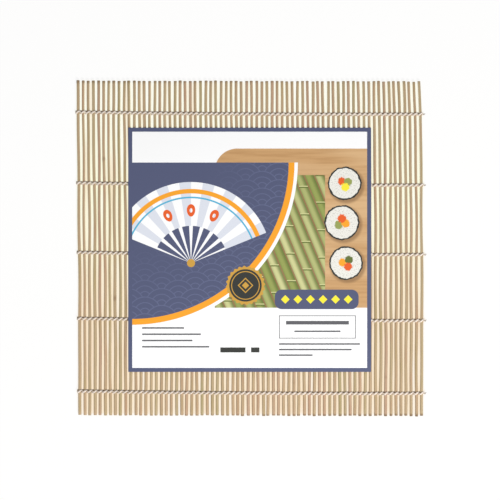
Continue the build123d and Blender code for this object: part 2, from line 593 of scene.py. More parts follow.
def waver(row, x):
    """A small uneven change along a row, between -1 and 1."""
    t = (x - first_x) / pitch
    return 0.5 * math.sin(1.9 * t + 2.1 * row) + 0.5 * math.sin(0.83 * t + 4.7 * row + 1)


print(f"a row drops by {(row_y(0, first_x) - row_y(0, last_x)) / MM:.1f} mm across the mat")


# %% The route of a half of the thread
def thread_point(row, half, step):
    """A point of the route, where step counts sticks and half is 1 or -1."""
    number = math.floor(step + 0.5)
    over = half * (-1) ** number
    run = (step - number) * 2 * half_step
    way = math.copysign(1, run)
    if abs(run) < arc_length:
        turn = run / wrap_radius
        x, z = wrap_radius * math.sin(turn), wrap_radius * math.cos(turn)
    else:
        share = (abs(run) - arc_length) / (half_step - arc_length)
        x = way * (wrap_radius * math.cos(lean) * (1 - share) + pitch / 2 * share)
        z = wrap_radius * math.sin(lean) * (1 - share)
    x += first_x + number * pitch
    side = half * (math.sin(math.pi * step) + THREAD_GRIP * math.sin(3 * math.pi * step))
    side *= THREAD_OFFSET * (1 + OFFSET_WAVER * waver(row, x))
    y = row_y(row, x)
    side += ROW_WAVER * waver(row + 7, x)
    return Vector((x + drift(x, y), y + side, middle_z + over * z))


def loop_point(row, number, way, share):
    """A point of the fold round the first or last stick, from below it at 0 to above it at 1."""
    x = first_x + number * pitch + way * wrap_radius * math.sin(math.pi * share)
    z = middle_z - wrap_radius * math.cos(math.pi * share)
    side = -way * THREAD_OFFSET * math.sin(2 * math.pi * share)
    y = row_y(row, x)
    return Vector((x + drift(x, y), y + side, z))


print(f"over a stick the thread is {(thread_point(0, 1, 2).z - middle_z) / MM:.2f} mm above its middle")

# %% [markdown]
# ## Cotton
#
# Undyed cotton is a warm white. Its colour varies softly, and the valleys between the plies are painted
# darker, as painted shade. The thread bends with the mat, so the pattern follows the thread itself: the UV
# map gives the way along it and the way round it. Where a half dives between two sticks, behind the other
# half, it is painted darker, as painted shade, and a number stored with each point says how deep it is.

# %% The cotton finish
PLIES = 3
PLY_LAY = 2.5 * MM
SHADED = "shaded_thread"
WARM_COTTON, DULL_COTTON = colour(250, 238, 226), colour(224, 205, 190)
PLY_VALLEY_SHADE, DARK_COTTON = colour(166, 142, 126), colour(104, 88, 80)
FLUFF_PER_METRE, FLUFF_AROUND = 2600, 26.0
FLUFF_HEIGHT = 0.05 * MM

cotton = Finish("undyed_cotton", {"Specular IOR Level": 0.15, "Sheen Weight": 0.35, "Sheen Roughness": 0.4})
along, around = cotton.flat_place()
lay_phase = PLIES * 2 * math.pi * around
# Painted shade in the valleys between the plies.
valley_shade = (0.5 + 0.5 * (lay_phase + 1.5 * math.pi).sine()).ramp(0.72, 1.0)
fluff = cotton.noise(cotton.vector(along * FLUFF_PER_METRE, around * FLUFF_AROUND, 0.0), detail=3.0)
cotton_colour = cotton.lay(WARM_COTTON, DULL_COTTON, fluff.ramp(0.35, 0.8) * 0.6)
cotton_colour = cotton.lay(cotton_colour, PLY_VALLEY_SHADE, valley_shade * 0.45)
# Painted shade where a half dives between the sticks, from the number stored with its points.
cotton_colour = cotton.lay(cotton_colour, DARK_COTTON, cotton.stored(SHADED) * 0.85)
fuzz = cotton.bump(fluff, FLUFF_HEIGHT, 0.6)
cotton_thread = cotton.done({"Base Color": cotton_colour, "Roughness": 0.85, "Normal": fuzz})
print("made", cotton_thread.name)

# %% [markdown]
# ## Twisted thread
#
# The thread is three plies twisted together. A curve can show that: its bevel shape is a closed
# outline with three lobes, and the tilt of the curve turns the outline steadily on its way. The
# curve is laid out with its Z along the sticks, because the thread never runs that way, and so
# the outline never flips. It is then turned into place as a mesh.
#
# Drawn tight, soft cotton flattens against the bamboo and spreads sideways. So each ring of the
# mesh is pressed towards the stick, and its UV map is written anew: metres of thread one way and
# the share of a turn round it the other way.

# %% The outline of the thread
SECTION_POINTS = 12
LOBE = 0.13


def section_outline(name, radius):
    """A closed outline with one lobe for each ply."""
    data = bpy.data.curves.new(name, "CURVE")
    spline = data.splines.new("POLY")
    spline.points.add(SECTION_POINTS - 1)
    for n, point in enumerate(spline.points):
        angle = 2 * math.pi * n / SECTION_POINTS
        reach = radius * (1 - LOBE + LOBE * math.cos(PLIES * angle))
        point.co = (reach * math.cos(angle), reach * math.sin(angle), 0, 1)
    spline.use_cyclic_u = True
    outline = bpy.data.objects.new(name, data)
    bpy.context.collection.objects.link(outline)
    return outline


outline = section_outline("thread_outline", THREAD_WIDTH / 2)
print("outline of the thread:", len(outline.data.splines[0].points), "points")


# %% Press the thread flat and map it
def press_flat(piece, middles, ahead, pressed):
    """Moves each ring's points towards its middle, square to the thread and to the sticks."""
    normal = np.stack([-ahead[:, 2], np.zeros(len(ahead)), ahead[:, 0]], axis=1)
    normal = np.repeat(normal / np.linalg.norm(normal, axis=1, keepdims=True), SECTION_POINTS, axis=0)
    points = np.empty(len(piece.data.vertices) * 3)
    piece.data.vertices.foreach_get("co", points)
    points = points.reshape(-1, 3)
    out = points - np.repeat(middles, SECTION_POINTS, axis=0)
    points -= normal * np.sum(out * normal, axis=1, keepdims=True) * (1 - pressed)
    piece.data.vertices.foreach_set("co", points.ravel())


def write_map(piece, lengths):
    """A UV map of the way along the thread and the share of the way round it."""
    corners = np.empty(len(piece.data.loops), int)
    piece.data.loops.foreach_get("vertex_index", corners)
    along, around = lengths[corners // SECTION_POINTS], corners % SECTION_POINTS
    for face in piece.data.polygons:
        here = around[face.loop_start : face.loop_start + face.loop_total]
        if face.loop_total == 4 and here.max() - here.min() > SECTION_POINTS / 2:
            here[here == 0] = SECTION_POINTS
    layer = piece.data.uv_layers[0]
    layer.data.foreach_set("uv", np.stack([along, around / SECTION_POINTS], axis=1).ravel())


print(f"over the bamboo it is pressed from {THREAD_WIDTH / MM:.2f} to {thread_size / MM:.2f} mm")


# %% A maker of thread pieces
def thread_mesh(name, routes, outline, pressed=1.0, darkened_by=0.0):
    """One mesh of several threads. A route is a list of points, each with the thread up to it."""
    data = bpy.data.curves.new(name, "CURVE")
    data.dimensions = "3D"
    data.twist_mode = "Z_UP"
    data.bevel_mode = "OBJECT"
    data.bevel_object = outline
    for route in routes:
        spline = data.splines.new("POLY")
        spline.points.add(len(route) - 1)
        for point, (place, length) in zip(spline.points, route):
            point.co = (place.x, place.z, -place.y, 1)
            point.tilt = 2 * math.pi * length / PLY_LAY
    piece = bpy.data.objects.new(name, data)
    bpy.context.collection.objects.link(piece)
    piece.rotation_euler.x = math.pi / 2
    select_only(piece)
    bpy.ops.object.convert(target="MESH")
    bpy.ops.object.transform_apply(rotation=True)
    bpy.ops.object.shade_smooth()
    middles = np.array([place for route in routes for place, length in route])
    lengths = np.array([length for route in routes for place, length in route])
    places = [[place for place, length in route] for route in routes]
    ahead = np.concatenate([np.gradient(route_places, axis=0) for route_places in places])
    press_flat(piece, middles, ahead, pressed)
    write_map(piece, lengths)
    # Painted shade: the stored number is the depth of a half where it dives between two sticks, plus a
    # share given for the whole piece.
    depth = 1 - abs(middles[:, 2] - middle_z) / wrap_radius
    diving = ahead[:, 2] * np.sign(ahead[:, 0]) < 0
    write_values(piece, SHADED, np.repeat(np.clip(depth * diving + darkened_by, 0, 1), SECTION_POINTS))
    bpy.ops.object.mode_set(mode="EDIT")
    bpy.ops.mesh.select_all(action="SELECT")
    bpy.ops.mesh.fill_holes(sides=SECTION_POINTS)
    bpy.ops.object.mode_set(mode="OBJECT")
    return piece


print(f"a turn of the plies takes {PLY_LAY / MM} mm of thread")

# %% [markdown]
# ## Thread across the folds
#
# The thread is the hinge of the mat. Each piece here runs from the middle of one link to the middle of the
# next and holds all five rows.

# %% Routes with the fold at each end
POINTS_PER_STEP = 20
UNDER_LOOP = math.pi * wrap_radius


def half_route(row, half, start, end):
    """Points of one half between two steps, each with the length of thread up to it."""
    count = round(abs(end - start) * POINTS_PER_STEP)
    steps = [start + (end - start) * n / count for n in range(count + 1)]
    return [(thread_point(row, half, step), step * 2 * half_step) for step in steps]


def folded_route(row, start, end, number, way):
    """Both halves in one, from one side of the outer stick round it to the other side."""
    loop = [n / POINTS_PER_STEP for n in range(1, POINTS_PER_STEP)]
    turn = number * 2 * half_step
    if way < 0:
        below = [(place, -UNDER_LOOP - at) for place, at in half_route(row, -1, end, start)]
        above = half_route(row, 1, start, end)
        return below + [(loop_point(row, number, way, t), (t - 1) * UNDER_LOOP) for t in loop] + above
    below = half_route(row, 1, start, end)
    above = [(place, 2 * turn + UNDER_LOOP - at) for place, at in half_route(row, -1, end, start)]
    return below + [(loop_point(row, number, way, t), turn + t * UNDER_LOOP) for t in loop] + above


print(f"{UNDER_LOOP / MM:.1f} mm of thread go round an outer stick")

# %% Make the thread of each fold
link_middle = [first + (count - 1) / 2 for first, count in zip(first_in_link, sticks_in_link)]
bend_reach = pitch / 2 - wrap_radius * math.cos(lean)
faces_made = 0
for n, (a, b) in enumerate(zip(links, links[1:])):
    start, end = link_middle[n], link_middle[n + 1]
    routes = []
    for row in range(len(ROW_SHARES)):
        if n == 0:
            routes.append(folded_route(row, 0, end, 0, -1))
        elif n == len(links) - 2:
            routes.append(folded_route(row, start, stick_count - 1, stick_count - 1, 1))
        else:
            routes += [half_route(row, 1, start, end), half_route(row, -1, start, end)]
    piece = thread_mesh(f"thread_{n + 1:02d}", routes, outline, thread_size / THREAD_WIDTH)
    piece.data.materials.append(cotton_thread)
    nodes = [f"string_turns_{n + 1:02d}"]
    if n == len(links) - 2:
        nodes.append(f"string_turns_{n + 2:02d}")
    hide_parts(*nodes)
    row_drifts = [drift(fold_x[n], row_y(row, fold_x[n])) for row in range(len(ROW_SHARES))]
    bend_x = fold_x[n] + sum(row_drifts) / len(ROW_SHARES)
    bend_x - bend_reach
    bend_x + bend_reach
    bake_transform(piece)
    faces_made += len(piece.data.polygons)
print("made the thread of", len(fold_x), "folds with", faces_made, "faces")

# %% [markdown]
# ## Knots
#
# Past the last stick the two ends of each thread are tied and cut short. The knot is drawn tight, so the
# thread in it is thinner. Its turns are a short helix, wider than it is high, and the two cut ends stick
# out, one a little longer than the other. The cut ends are darker all along.

# %% Routes of a knot and of its tails
KNOT_POINTS, TAIL_POINTS = 44, 8
KNOT_TURNS = 2.4
KNOT_LENGTH, KNOT_COIL, KNOT_WIDENING = 0.5 * MM, 0.36 * MM, 1.35
KNOT_THREAD, TAIL_THREAD = 6 * MM, 2.4 * MM
KNOT_STRAND, TAIL_STRAND = 0.26 * MM, 0.21 * MM
TAIL_SPLAY = math.radians(16)
TAIL_APART, TAIL_CURL = 0.16 * MM, 0.12 * MM
LONG_TAIL, SHORT_TAIL = 0.68 * MM, 0.85 * MM  # by which each is shorter than the packed knot


def knot_route(centre, row):
    """The tight turns of one knot."""
    route = []
    for n in range(KNOT_POINTS + 1):
        share = n / KNOT_POINTS
        turn = 2 * math.pi * KNOT_TURNS * share + row
        reach = KNOT_COIL * (0.75 + 0.25 * math.sin(math.pi * share))
        across, up = KNOT_WIDENING * reach * math.cos(turn), reach * math.sin(turn)
        route.append((centre + Vector(((share - 0.5) * KNOT_LENGTH, across, up)), share * KNOT_THREAD))
    return route


def tail_route(centre, side, reach):
    """One cut end, from inside the knot outwards and to its side."""
    route = []
    for n in range(TAIL_POINTS + 1):
        share = n / TAIL_POINTS
        across = side * (TAIL_APART + reach * math.tan(TAIL_SPLAY) * share ** 1.5)
        up = TAIL_CURL * side * math.sin(3 * share)
        route.append((centre + Vector((reach * share, across, up)), share * TAIL_THREAD))
    return route


print(f"{KNOT_THREAD / MM:.0f} mm of thread to a knot, in {KNOT_TURNS} turns")

# %% Make the knots
knot_low, knot_high = [Vector(corner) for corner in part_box("end_knots")]
tight_outline = section_outline("tight_outline", KNOT_STRAND)
tail_outline = section_outline("tail_outline", TAIL_STRAND)
knot_routes, tail_routes = [], []
for row in range(len(ROW_SHARES)):
    knot_y = row_y(row, last_x)
    centre = Vector((knot_low.x + KNOT_LENGTH + drift(last_x, knot_y), knot_y, middle_z))
    knot_routes.append(knot_route(centre, row))
    for side, shorter in ((-1, SHORT_TAIL), (1, LONG_TAIL)):
        tail_routes.append(tail_route(centre, side, knot_high.x - knot_low.x - shorter))
knots = thread_mesh("end_knots_tied", knot_routes, tight_outline)
tails = thread_mesh("tails", tail_routes, tail_outline, darkened_by=0.55)
select_only(knots, tails)
bpy.ops.object.join()
knots.data.materials.clear()
knots.data.materials.append(cotton_thread)
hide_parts("end_knots")
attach(knots, links[-1])
for shape in (outline, tight_outline, tail_outline):
    bpy.data.objects.remove(shape)
print("made", len(ROW_SHARES), "knots with", len(knots.data.polygons), "faces")

# %% [markdown]
# ## The print of the card
#
# The card has a slate blue border, a white ground and large plain areas of colour. The print here
# is a design of its own: a quarter round field with faint waves and a folding fan, an orange rim,
# a wooden board with bamboo stalks and rice rolls, a gold seal, diamonds and plain rules. Each
# motif is a mask of 0 and 1, worked out from the way across and up the card in millimetres, and
# the masks are laid over each other as a printer lays inks.

# %% Inks and the simplest masks
CARD_WIDTH, CARD_HEIGHT, BORDER = 174.0, 175.0, 2.9
WHITE, GREY, SHADE = colour(255, 255, 255), colour(92, 92, 96), colour(122, 88, 56)
SLATE, PALE_SLATE, SKY_BLUE = colour(79, 85, 115), colour(94, 101, 133), colour(88, 180, 214)
ORANGE, SALMON = colour(249, 166, 40), colour(232, 96, 36)
YELLOW, GOLD = colour(250, 236, 60), colour(205, 158, 66)
TAN, DARK_TAN, PALE_TAN = colour(205, 162, 112), colour(170, 124, 76), colour(228, 192, 146)
LEAF, DARK_LEAF, PALE_LEAF = colour(150, 160, 86), colour(96, 110, 48), colour(208, 208, 148)
NORI, RICE, RICE_SHADE = colour(40, 42, 38), colour(240, 238, 230), colour(168, 166, 156)
FOLD_SHADE = colour(222, 226, 236)


def between(value, low, high):
    return (value > low) * (value < high)


def panel(x, y, left, right, low, high):
    return between(x, left, right) * between(y, low, high)


def distance(x, y, middle_x, middle_y):
    across, up = x - middle_x, y - middle_y
    return (across * across + up * up).root()


def turn_from_up(x, y, middle_x, middle_y):
    """The angle at a middle, in radians, from straight up and clockwise."""
    return x.math("ARCTAN2", x - middle_x, y - middle_y)


def outside(x, y, left, right, low, high):
    """How far a point is from a rectangle. It is 0 inside, and a limit on it has round corners."""
    across = (abs(x - (left + right) / 2) - (right - left) / 2).most(0.0)
    up = (abs(y - (low + high) / 2) - (high - low) / 2).most(0.0)
    return (across * across + up * up).root()


print(f"a card of {CARD_WIDTH:.0f} by {CARD_HEIGHT:.0f} mm with a border of {BORDER} mm")

# %% [markdown]
# ### Waves
#
# The wave pattern is a traditional one: rows of rings, and each row hides part of the one behind
# it. Three rows can reach a point, its own and the two in front of it, and the one furthest in
# front that does is seen.


# %% Rows of overlapping rings
WAVE_RINGS = 3.0


def wave_lines(x, y, size, line):
    """1 on the lines of the waves, where line is their width as a share of the ring spacing."""
    half = size / 2
    row = (y / (half / 2)).floor()
    shown = 0.0
    for behind in (2.0, 1.0, 0.0):
        this_row = row - 2.0 + behind
        shift = (this_row % 2.0) * half
        middle = ((x - shift) / size + 0.5).floor() * size + shift
        reach = distance(x, y, middle, this_row * (half / 2)) / half
        inside = reach < 1.0
        shown = (1.0 - inside) * shown + ((reach * WAVE_RINGS) % 1.0 > 1.0 - line) * inside
    return shown


print(round(WAVE_RINGS), "rings to a wave")

# %% [markdown]
# ### The fan
#
# A folding fan is drawn in polar coordinates about its pivot: the reach tells the leaf from the
# ribs below it, and the angle tells the folds apart. Three small rings decorate the leaf.

# %% A folding fan
FAN_OPEN, FAN_FOLD = 68.0, 17.0  # degrees to each side, and from one fold to the next
FAN_PIVOT, FAN_LEAF = 0.05, 0.46  # of the reach of the fan
FAN_RIB = 5.6  # degrees from the middle of a fold to the rib beside it
MARK_REACH, MARK_TURN, MARK_SCALE = 39.0, 26.0, 60.0  # degrees, the whole reach taken as 60


def fan(finish, ink, x, y, middle_x, middle_y, size):
    reach = distance(x, y, middle_x, middle_y) / size
    turn = turn_from_up(x, y, middle_x, middle_y) * (180 / math.pi)
    open_part = abs(turn) < FAN_OPEN
    leaf = between(reach, FAN_LEAF, 1.0) * open_part
    fold = (turn + FAN_OPEN) % FAN_FOLD
    paper = finish.lay(WHITE, FOLD_SHADE, fold > FAN_FOLD / 2)
    paper = finish.lay(paper, ORANGE, between(reach, 0.86, 0.915))
    paper = finish.lay(paper, SKY_BLUE, between(reach, 0.8, 0.82))
    for mark_turn, mark_at in ((abs(turn), MARK_TURN), (turn, 0.0)):
        mark = distance(mark_turn, reach * MARK_SCALE, mark_at, MARK_REACH)
        paper = finish.lay(paper, SALMON, between(mark, 1.6, 4.6))
    rib = between(reach, FAN_PIVOT, FAN_LEAF) * (abs(fold - FAN_FOLD / 2) > FAN_RIB) * open_part
    ink = finish.lay(ink, WHITE, rib)
    ink = finish.lay(ink, paper, leaf)
    return finish.lay(ink, GOLD, reach < FAN_PIVOT)


print(round(2 * FAN_OPEN / FAN_FOLD), "folds in the fan")

# %% [markdown]
# ### Rice rolls
#
# A cut roll is a dark ring of seaweed round rice, with a few bright pieces in the middle. Noise
# breaks the rice up into grains, and a soft dark disc behind it, a little to one side, is its
# shadow on the board.

# %% A cut rice roll
SEAWEED = 1.1
FILLING_SHARE = 0.24


def roll(finish, ink, x, y, middle_x, middle_y, size, fillings):
    cast = distance(x, y, middle_x + 1.2, middle_y - 1.4)
    ink = finish.lay(ink, SHADE, cast.ramp(size + 2.2, size - 0.5) * 0.6)
    wobble = finish.noise(finish.vector(x * 0.35, y * 0.35, middle_y), detail=1.0)
    reach = distance(x, y, middle_x, middle_y) + (wobble - 0.5) * 1.6
    ink = finish.lay(ink, NORI, reach < size)
    grain = finish.noise(finish.vector(x * 1.3, y * 1.3, 0.0), detail=1.0)
    rice = finish.lay(RICE, RICE_SHADE, grain.ramp(0.5, 0.72) * 0.7)
    ink = finish.lay(ink, rice, reach < size - SEAWEED)
    for side_x, side_y, filling in fillings:
        piece = distance(x, y, middle_x + side_x, middle_y + side_y) + (grain - 0.5) * 3.0
        ink = finish.lay(ink, filling, piece < size * FILLING_SHARE)
    return ink


print(f"the seaweed is {SEAWEED} mm thick")

# %% [markdown]
# ### Laying the inks
#
# The motifs are laid from the back to the front, so each hides what is under it. First comes the
# board, with rounded corners and a grain along it.

# %% The wooden board
printed = Finish("printed_card", {"Specular IOR Level": 0.3})
u, v = printed.flat_place()
x, y = u * CARD_WIDTH, v * CARD_HEIGHT

board = (outside(x, y, 78.0, 190.0, 30.0, 144.0) < 16.0) * (y > 46.0)
grain = printed.noise(printed.vector(x * 0.03, y * 0.5, 0.0), detail=4.0)
figure = printed.noise(printed.vector(x * 0.008, y * 0.06, 3.0))
wood_and_flank_highlight = printed.lay(TAN, DARK_TAN, grain.ramp(0.35, 0.75) * 0.55)
wood_and_flank_highlight = printed.lay(wood_and_flank_highlight, PALE_TAN, figure.ramp(0.4, 0.7) * 0.6)
ink = printed.lay(WHITE, wood_and_flank_highlight, board)
print("the board takes", len(printed.tree.nodes), "nodes")

# %% [markdown]
# The stalks slant across the board. The remainder of a division tells where a point is on its
# stalk, and the whole part tells which stalk that is, so every stalk has a tint and knuckles of
# its own.

# %% Bamboo stalks
STALK, STALK_SLANT, STALK_EDGE = 7.4, 0.42, 0.5
KNUCKLE_SPACING, KNUCKLE_SHIFT = 31.0, 11.3

slant = x + y * STALK_SLANT
stalk_at = slant % STALK
stalk_number = (slant / STALK).floor()
stalks = board * (x < 141.0) * (y < 141.0)
ink = printed.lay(ink, SHADE, stalks * 0.75)
knuckle = (y + stalk_number * KNUCKLE_SHIFT) % KNUCKLE_SPACING
leaf = printed.lay(PALE_LEAF, LEAF, printed.chance(stalk_number).ramp(0.0, 0.7))
leaf = printed.lay(leaf, DARK_LEAF, abs(stalk_at / STALK - 0.38).ramp(0.04, 0.52) * 0.85)
leaf = printed.lay(leaf, DARK_LEAF, knuckle < 0.8)
leaf = printed.lay(leaf, PALE_LEAF, between(knuckle, 0.8, 1.5))
ink = printed.lay(ink, leaf, stalks * between(stalk_at, STALK_EDGE, STALK - STALK_EDGE))
print("with the stalks it is", len(printed.tree.nodes), "nodes")

# %% Three rice rolls
ROLLS = (
    (155.0, 135.0, 12.0, ((-2.0, 1.5, SALMON), (2.4, 1.0, LEAF), (0.4, -2.6, YELLOW))),
    (153.0, 107.0, 12.5, ((-2.2, -1.6, LEAF), (2.6, -0.6, ORANGE), (0.0, 2.8, SALMON))),
    (156.0, 78.0, 12.0, ((-2.4, 0.4, ORANGE), (2.0, 2.2, DARK_LEAF), (1.4, -2.6, SALMON))),
)
for roll_x, roll_y, roll_size, fillings in ROLLS:
    ink = roll(printed, ink, x, y, roll_x, roll_y, roll_size, fillings)
print("with", len(ROLLS), "rolls it is", len(printed.tree.nodes), "nodes")

# %% [markdown]
# The field is a quarter of a disc about a corner, with a white and an orange rim. Its waves fade
# in towards the rim, where they don't disturb the fan.

# %% The quarter round field and its fan
FIELD_X, FIELD_Y, FIELD_REACH = 2.9, 150.0, 112.0
ORANGE_RIM, WHITE_RIM = 4.2, 2.4
WAVE_SIZE, WAVE_LINE = 24.0, 0.16

corner = distance(x, y, FIELD_X, FIELD_Y)
below = y < FIELD_Y
ink = printed.lay(ink, WHITE, below * (corner < FIELD_REACH + ORANGE_RIM + WHITE_RIM))
ink = printed.lay(ink, ORANGE, below * (corner < FIELD_REACH + ORANGE_RIM))
waves = wave_lines(x, y, WAVE_SIZE, WAVE_LINE) * corner.ramp(FIELD_REACH * 0.45, FIELD_REACH * 0.95)
ink = printed.lay(ink, printed.lay(SLATE, PALE_SLATE, waves), below * (corner < FIELD_REACH))
ink = fan(printed, ink, x, y, 45.0, 78.0, 58.0)
print("with the field it is", len(printed.tree.nodes), "nodes")

# %% The gold seal
SEAL_X, SEAL_Y = 84.0, 62.0
PETALS, PETAL_DEPTH = 24.0, 0.5

seal = distance(x, y, SEAL_X, SEAL_Y)
petals = (turn_from_up(x, y, SEAL_X, SEAL_Y) * PETALS).sine() * PETAL_DEPTH
ink = printed.lay(ink, GOLD, seal + petals < 13.6)
ink = printed.lay(ink, NORI, seal < 11.6)
ink = printed.lay(ink, GOLD, between(seal, 9.6, 10.2))
diamond = abs(x - SEAL_X) + abs(y - SEAL_Y)
ink = printed.lay(ink, GOLD, between(diamond, 4.6, 5.6) + (diamond < 2.6))
print("with the seal it is", len(printed.tree.nodes), "nodes")

# %% [markdown]
# The lower part has a slate band with a row of diamonds, and plain rules and blocks. The sum of
# the ways across and up from a middle is the same all along the sides of a diamond.

# %% The band and the rules
RULE = 1.1
BAND_X, BAND_Y, DIAMOND_SPACING = 108.0, 52.0, 9.0
GREY_RULES = (
    (10.0, 40.0, 31.0), (10.0, 52.0, 26.5), (10.0, 46.0, 22.0), (10.0, 58.0, 17.5),
    (108.0, 166.0, 19.5), (108.0, 160.0, 15.5), (108.0, 132.0, 11.5),
)  # left, right and lower edge of each

ink = printed.lay(ink, SLATE, outside(x, y, 110.0, 160.0, 50.0, 54.0) < 5.0)
diamond = abs((x - BAND_X) % DIAMOND_SPACING - DIAMOND_SPACING / 2) + abs(y - BAND_Y)
ink = printed.lay(ink, YELLOW, (diamond < 3.1) * panel(x, y, BAND_X, 162.0, 45.5, 58.5))
for left, right, low in GREY_RULES:
    ink = printed.lay(ink, GREY, panel(x, y, left, right, low, low + RULE))
for left, right in ((66.0, 84.0), (88.0, 94.0)):
    ink = printed.lay(ink, NORI, panel(x, y, left, right, 14.0, 17.6))
frame_line = panel(x, y, 108.0, 163.0, 24.0, 40.5) - panel(x, y, 108.5, 162.5, 24.5, 40.0)
bars = panel(x, y, 113.0, 158.0, 34.0, 36.6) + panel(x, y, 119.0, 152.0, 28.6, 29.7)
ink = printed.lay(ink, GREY, frame_line)
ink = printed.lay(ink, GREY, bars)
print("with the rules it is", len(printed.tree.nodes), "nodes")

# %% [markdown]
# The border comes last. The card has a low sheen and a faint tooth in the paper, and its back is
# plain board with a little pulp showing.

# %% The border and both sides of the card
TOOTH_SCALE, TOOTH_DEPTH = 3.0, 0.02 * MM
PULP_PER_METRE = 900
BOARD_GREY, PULP_GREY = colour(228, 226, 220), colour(206, 202, 194)

inner = panel(x, y, BORDER, CARD_WIDTH - BORDER, BORDER, CARD_HEIGHT - BORDER)
ink = printed.lay(SLATE, ink, inner)
tooth = printed.noise(printed.vector(x * TOOTH_SCALE, y * TOOTH_SCALE, 0.0), detail=3.0)
print_finish = printed.done({
    "Base Color": ink,
    "Roughness": 0.42 + 0.12 * tooth,
    "Normal": printed.bump(tooth, TOOTH_DEPTH, 0.4),
})
plain = Finish("card_back", {"Specular IOR Level": 0.3, "Roughness": 0.8})
back_x, back_y = plain.place()[:2]
pulp = plain.noise(plain.vector(back_x * PULP_PER_METRE, back_y * PULP_PER_METRE, 0.0), detail=4.0)
card_back = plain.done({"Base Color": plain.lay(BOARD_GREY, PULP_GREY, pulp)})
print("the print has", len(printed.tree.nodes), "nodes")

# %% [markdown]
# ## The card
#
# The card is cut from stiff paper, so it bends with the mat but never stretches. It is modelled as one thin
# slab, turned a little as in the photo. It rests on three rows of thread, and beyond the outer two its free
# ends droop towards the sticks. Bisecting the slab at the middle of each link gives strips, and a few more
# cuts divide each strip over its fold. A UV map keeps the flat place of every point, so the print stays
# whole across the strips.

# %% Cuts and the droop of the card
CARD_TURN = math.radians(-0.25)
DROOP = 0.7 * MM
DROOP_LOW, DROOP_HIGH = -52 * MM, 46 * MM
DROOP_CUTS = 6


def cut(place, across, clear_before=False, clear_after=False):
    """Cuts what is being edited straight through and can clear away one side."""
    bpy.ops.mesh.select_all(action="SELECT")
    bpy.ops.mesh.bisect(
        plane_co=place,
        plane_no=across,
        use_fill=clear_before or clear_after,
        clear_inner=clear_before,
        clear_outer=clear_after,
    )


def beyond_rows(y):
    """0 between the outer rows of thread under the card, rising to 1 at its free ends."""
    above = (y - DROOP_HIGH) / (card_high.y - DROOP_HIGH)
    below = (DROOP_LOW - y) / (DROOP_LOW - card_low.y)
    return max(0, above, below)


card_low, card_high = [Vector(corner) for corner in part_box("label_card")]
card_middle = (card_low + card_high) / 2
print(f"half way along a free end it droops by {DROOP * 0.5 ** 2 / MM:.2f} mm")

# %% Model the whole card
bpy.ops.object.select_all(action="DESELECT")
bpy.ops.mesh.primitive_plane_add(size=1)
card = bpy.context.object
card.name = "whole_card"
card.scale = (CARD_WIDTH * MM, CARD_HEIGHT * MM, 1)
card.rotation_euler.z = CARD_TURN
card.location = (card_middle.x, card_middle.y, card_low.z)
bpy.ops.object.transform_apply(location=True, rotation=True, scale=True)
bpy.ops.object.mode_set(mode="EDIT")
bpy.ops.mesh.select_all(action="SELECT")
bpy.ops.mesh.extrude_region_move(TRANSFORM_OT_translate={"value": (0, 0, card_high.z - card_low.z)})
bpy.ops.mesh.select_all(action="SELECT")
bpy.ops.mesh.normals_make_consistent(inside=False)
for k in range(DROOP_CUTS):
    cut((0, DROOP_HIGH + (card_high.y - DROOP_HIGH) * k / DROOP_CUTS, 0), (0, 1, 0))
    cut((0, DROOP_LOW - (DROOP_LOW - card_low.y) * k / DROOP_CUTS, 0), (0, 1, 0))
bpy.ops.object.mode_set(mode="OBJECT")
for point in card.data.vertices:
    point.co.z -= DROOP * beyond_rows(point.co.y) ** 2
card.data.materials.append(print_finish)
card.data.materials.append(card_back)
print("the card has", len(card.data.polygons), "faces")


# %% The flat place of every corner
def lay_flat_map(piece):
    """Gives every corner its flat place on the card, from 0 to 1 both ways."""
    layers = piece.data.uv_layers
    layer = layers[0] if layers else layers.new(name="flat_card")
    cos, sin = math.cos(CARD_TURN), math.sin(CARD_TURN)
    for corner, loop in zip(layer.data, piece.data.loops):
        shift = piece.data.vertices[loop.vertex_index].co - card_middle
        across, up = shift.x * cos + shift.y * sin, shift.y * cos - shift.x * sin
        corner.uv = (across / (CARD_WIDTH * MM) + 0.5, up / (CARD_HEIGHT * MM) + 0.5)
    for face in piece.data.polygons:
        face.material_index = 0 if face.normal.z > 0.5 else 1


print(f"the flat card is turned by {math.degrees(CARD_TURN):.2f} degrees")

# %% Cut it into strips
CARD_CUTS = 7

middle_x = [first_x + middle * pitch for middle in link_middle]
strips = 0
for n, (a, b) in enumerate(zip(links, links[1:])):
    if middle_x[n + 1] < card_low.x or middle_x[n] > card_high.x:
        continue
    strip = card.copy()
    strip.data = card.data.copy()
    bpy.context.collection.objects.link(strip)
    strip.name = f"card_strip_{n + 1:02d}"
    select_only(strip)
    bpy.ops.object.mode_set(mode="EDIT")
    if middle_x[n] > card_low.x:
        cut((middle_x[n], 0, 0), (1, 0, 0), clear_before=True)
    if middle_x[n + 1] < card_high.x:
        cut((middle_x[n + 1], 0, 0), (1, 0, 0), clear_after=True)
    start, end = fold_x[n] - pitch / 2, fold_x[n] + pitch / 2
    for k in range(CARD_CUTS + 1):
        cut((start + (end - start) * k / CARD_CUTS, 0, 0), (1, 0, 0))
    bpy.ops.object.mode_set(mode="OBJECT")
    lay_flat_map(strip)
    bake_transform(strip)
    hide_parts("label_card")
    strips += 1
bpy.data.objects.remove(card)
print("cut the card into", strips, "strips")

# %% [markdown]
# ## Floor, light and camera
#
# The mat was photographed from straight above on white. The floor is pale and mostly shown as
# plain white to the camera, while the rest of its colour still takes the soft shadow of the mat.
#
# Light that reaches the floor between the sticks has bounced off bamboo and is warmer. The glow
# would hide that, so an Ambient Occlusion node tints it where the floor sees little of the sky:
# nearly white at the far side of the mat, cream in the middle and peach at the near side, with a
# tone of its own in each gap.

# %% Floor
FLOOR_SIZE = 4.0

